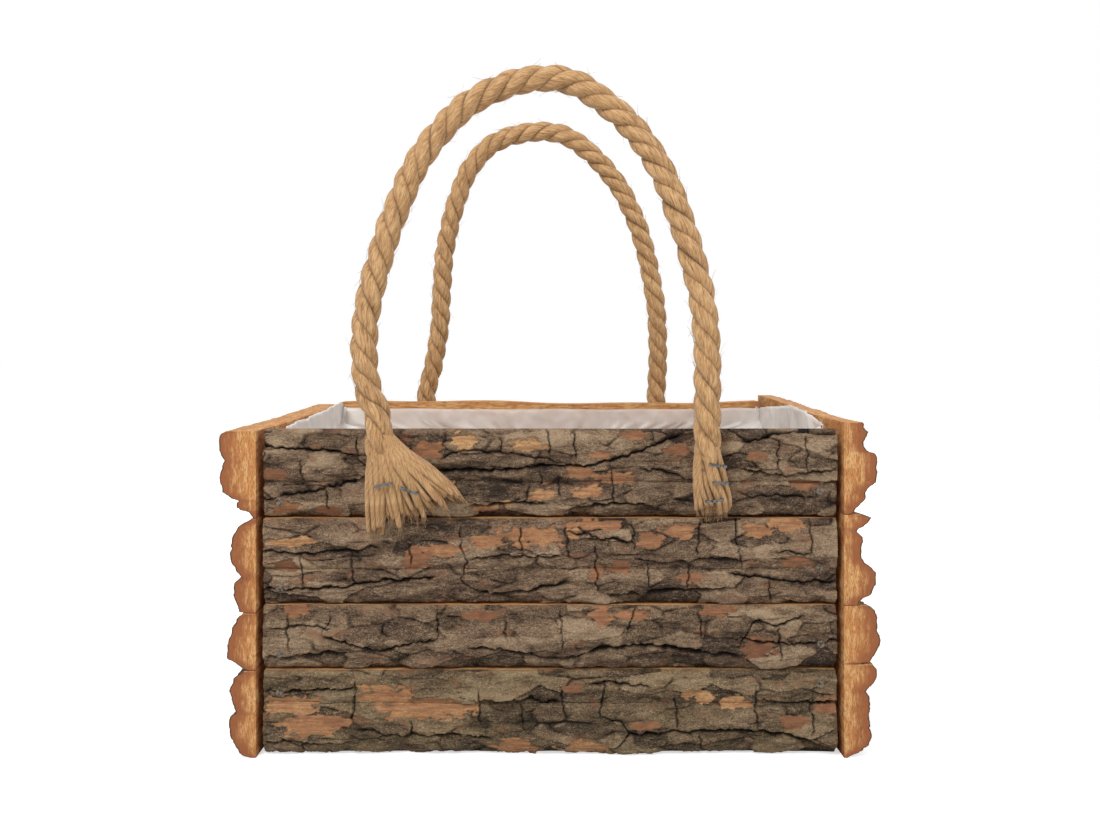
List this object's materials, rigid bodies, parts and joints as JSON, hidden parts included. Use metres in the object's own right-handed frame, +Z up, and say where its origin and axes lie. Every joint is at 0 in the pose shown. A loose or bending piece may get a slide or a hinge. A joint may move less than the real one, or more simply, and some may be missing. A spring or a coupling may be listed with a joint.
{
  "type": "basket",
  "caption": "Open rectangular garden basket of stacked bark slabs with a plastic film liner and two arched rope handles.",
  "frame": {"origin": "centre of the underside, on the surface that the basket stands on", "axes": "+X along the front wall to the right, +Y from the front wall to the rear wall, +Z up"},
  "size_m": [0.344, 0.2406, 0.3776],
  "materials": {
    "bark_slab": "rough grey-brown bark with orange scars and dark fissures",
    "bark_slab_end": "rough sawn end grain with reddish bark",
    "batten_wood": "sawn",
    "plastic_film": "milky crumpled film",
    "nail_steel": "dull steel",
    "jute_rope": "hairy three-strand jute",
    "staple_steel": "dull galvanised"
  },
  "bodies": {
    "root": {"front_slab_1": "bark_slab", "front_slab_2": "bark_slab", "front_slab_3": "bark_slab", "front_slab_4": "bark_slab", "rear_slab_1": "bark_slab", "rear_slab_2": "bark_slab", "rear_slab_3": "bark_slab", "rear_slab_4": "bark_slab", "left_slab_1": "bark_slab_end", "left_slab_2": "bark_slab_end", "left_slab_3": "bark_slab_end", "left_slab_4": "bark_slab_end", "right_slab_1": "bark_slab_end", "right_slab_2": "bark_slab_end", "right_slab_3": "bark_slab_end", "right_slab_4": "bark_slab_end", "post_front_left": "batten_wood", "post_front_right": "batten_wood", "post_rear_left": "batten_wood", "post_rear_right": "batten_wood", "cleat_left": "batten_wood", "cleat_right": "batten_wood", "floor_board_1": "batten_wood", "floor_board_2": "batten_wood", "floor_board_3": "batten_wood", "liner": "plastic_film", "floor_nails": "nail_steel", "front_nails": "nail_steel", "rear_nails": "nail_steel", "left_nails": "nail_steel", "right_nails": "nail_steel", "front_tail_left": "jute_rope", "front_tail_right": "jute_rope", "rear_tail_left": "jute_rope", "rear_tail_right": "jute_rope", "front_staples_left": "staple_steel", "front_staples_right": "staple_steel", "rear_staples_left": "staple_steel", "rear_staples_right": "staple_steel"},
    "front_handle": {"front_handle": "jute_rope"},
    "rear_handle": {"rear_handle": "jute_rope"}
  },
  "joints": [
    {"name": "front_handle_flex", "type": "hinge", "parent": "root", "child": "front_handle", "pos_m": [0, -0.1133, 0.178], "axis": [1, 0, 0], "range_deg": [-30, 75], "stiffness_Nm_per_rad": 0.6},
    {"name": "rear_handle_flex", "type": "hinge", "parent": "root", "child": "rear_handle", "pos_m": [0, 0.1133, 0.1815], "axis": [1, 0, 0], "range_deg": [-75, 28], "stiffness_Nm_per_rad": 0.6}
  ]
}
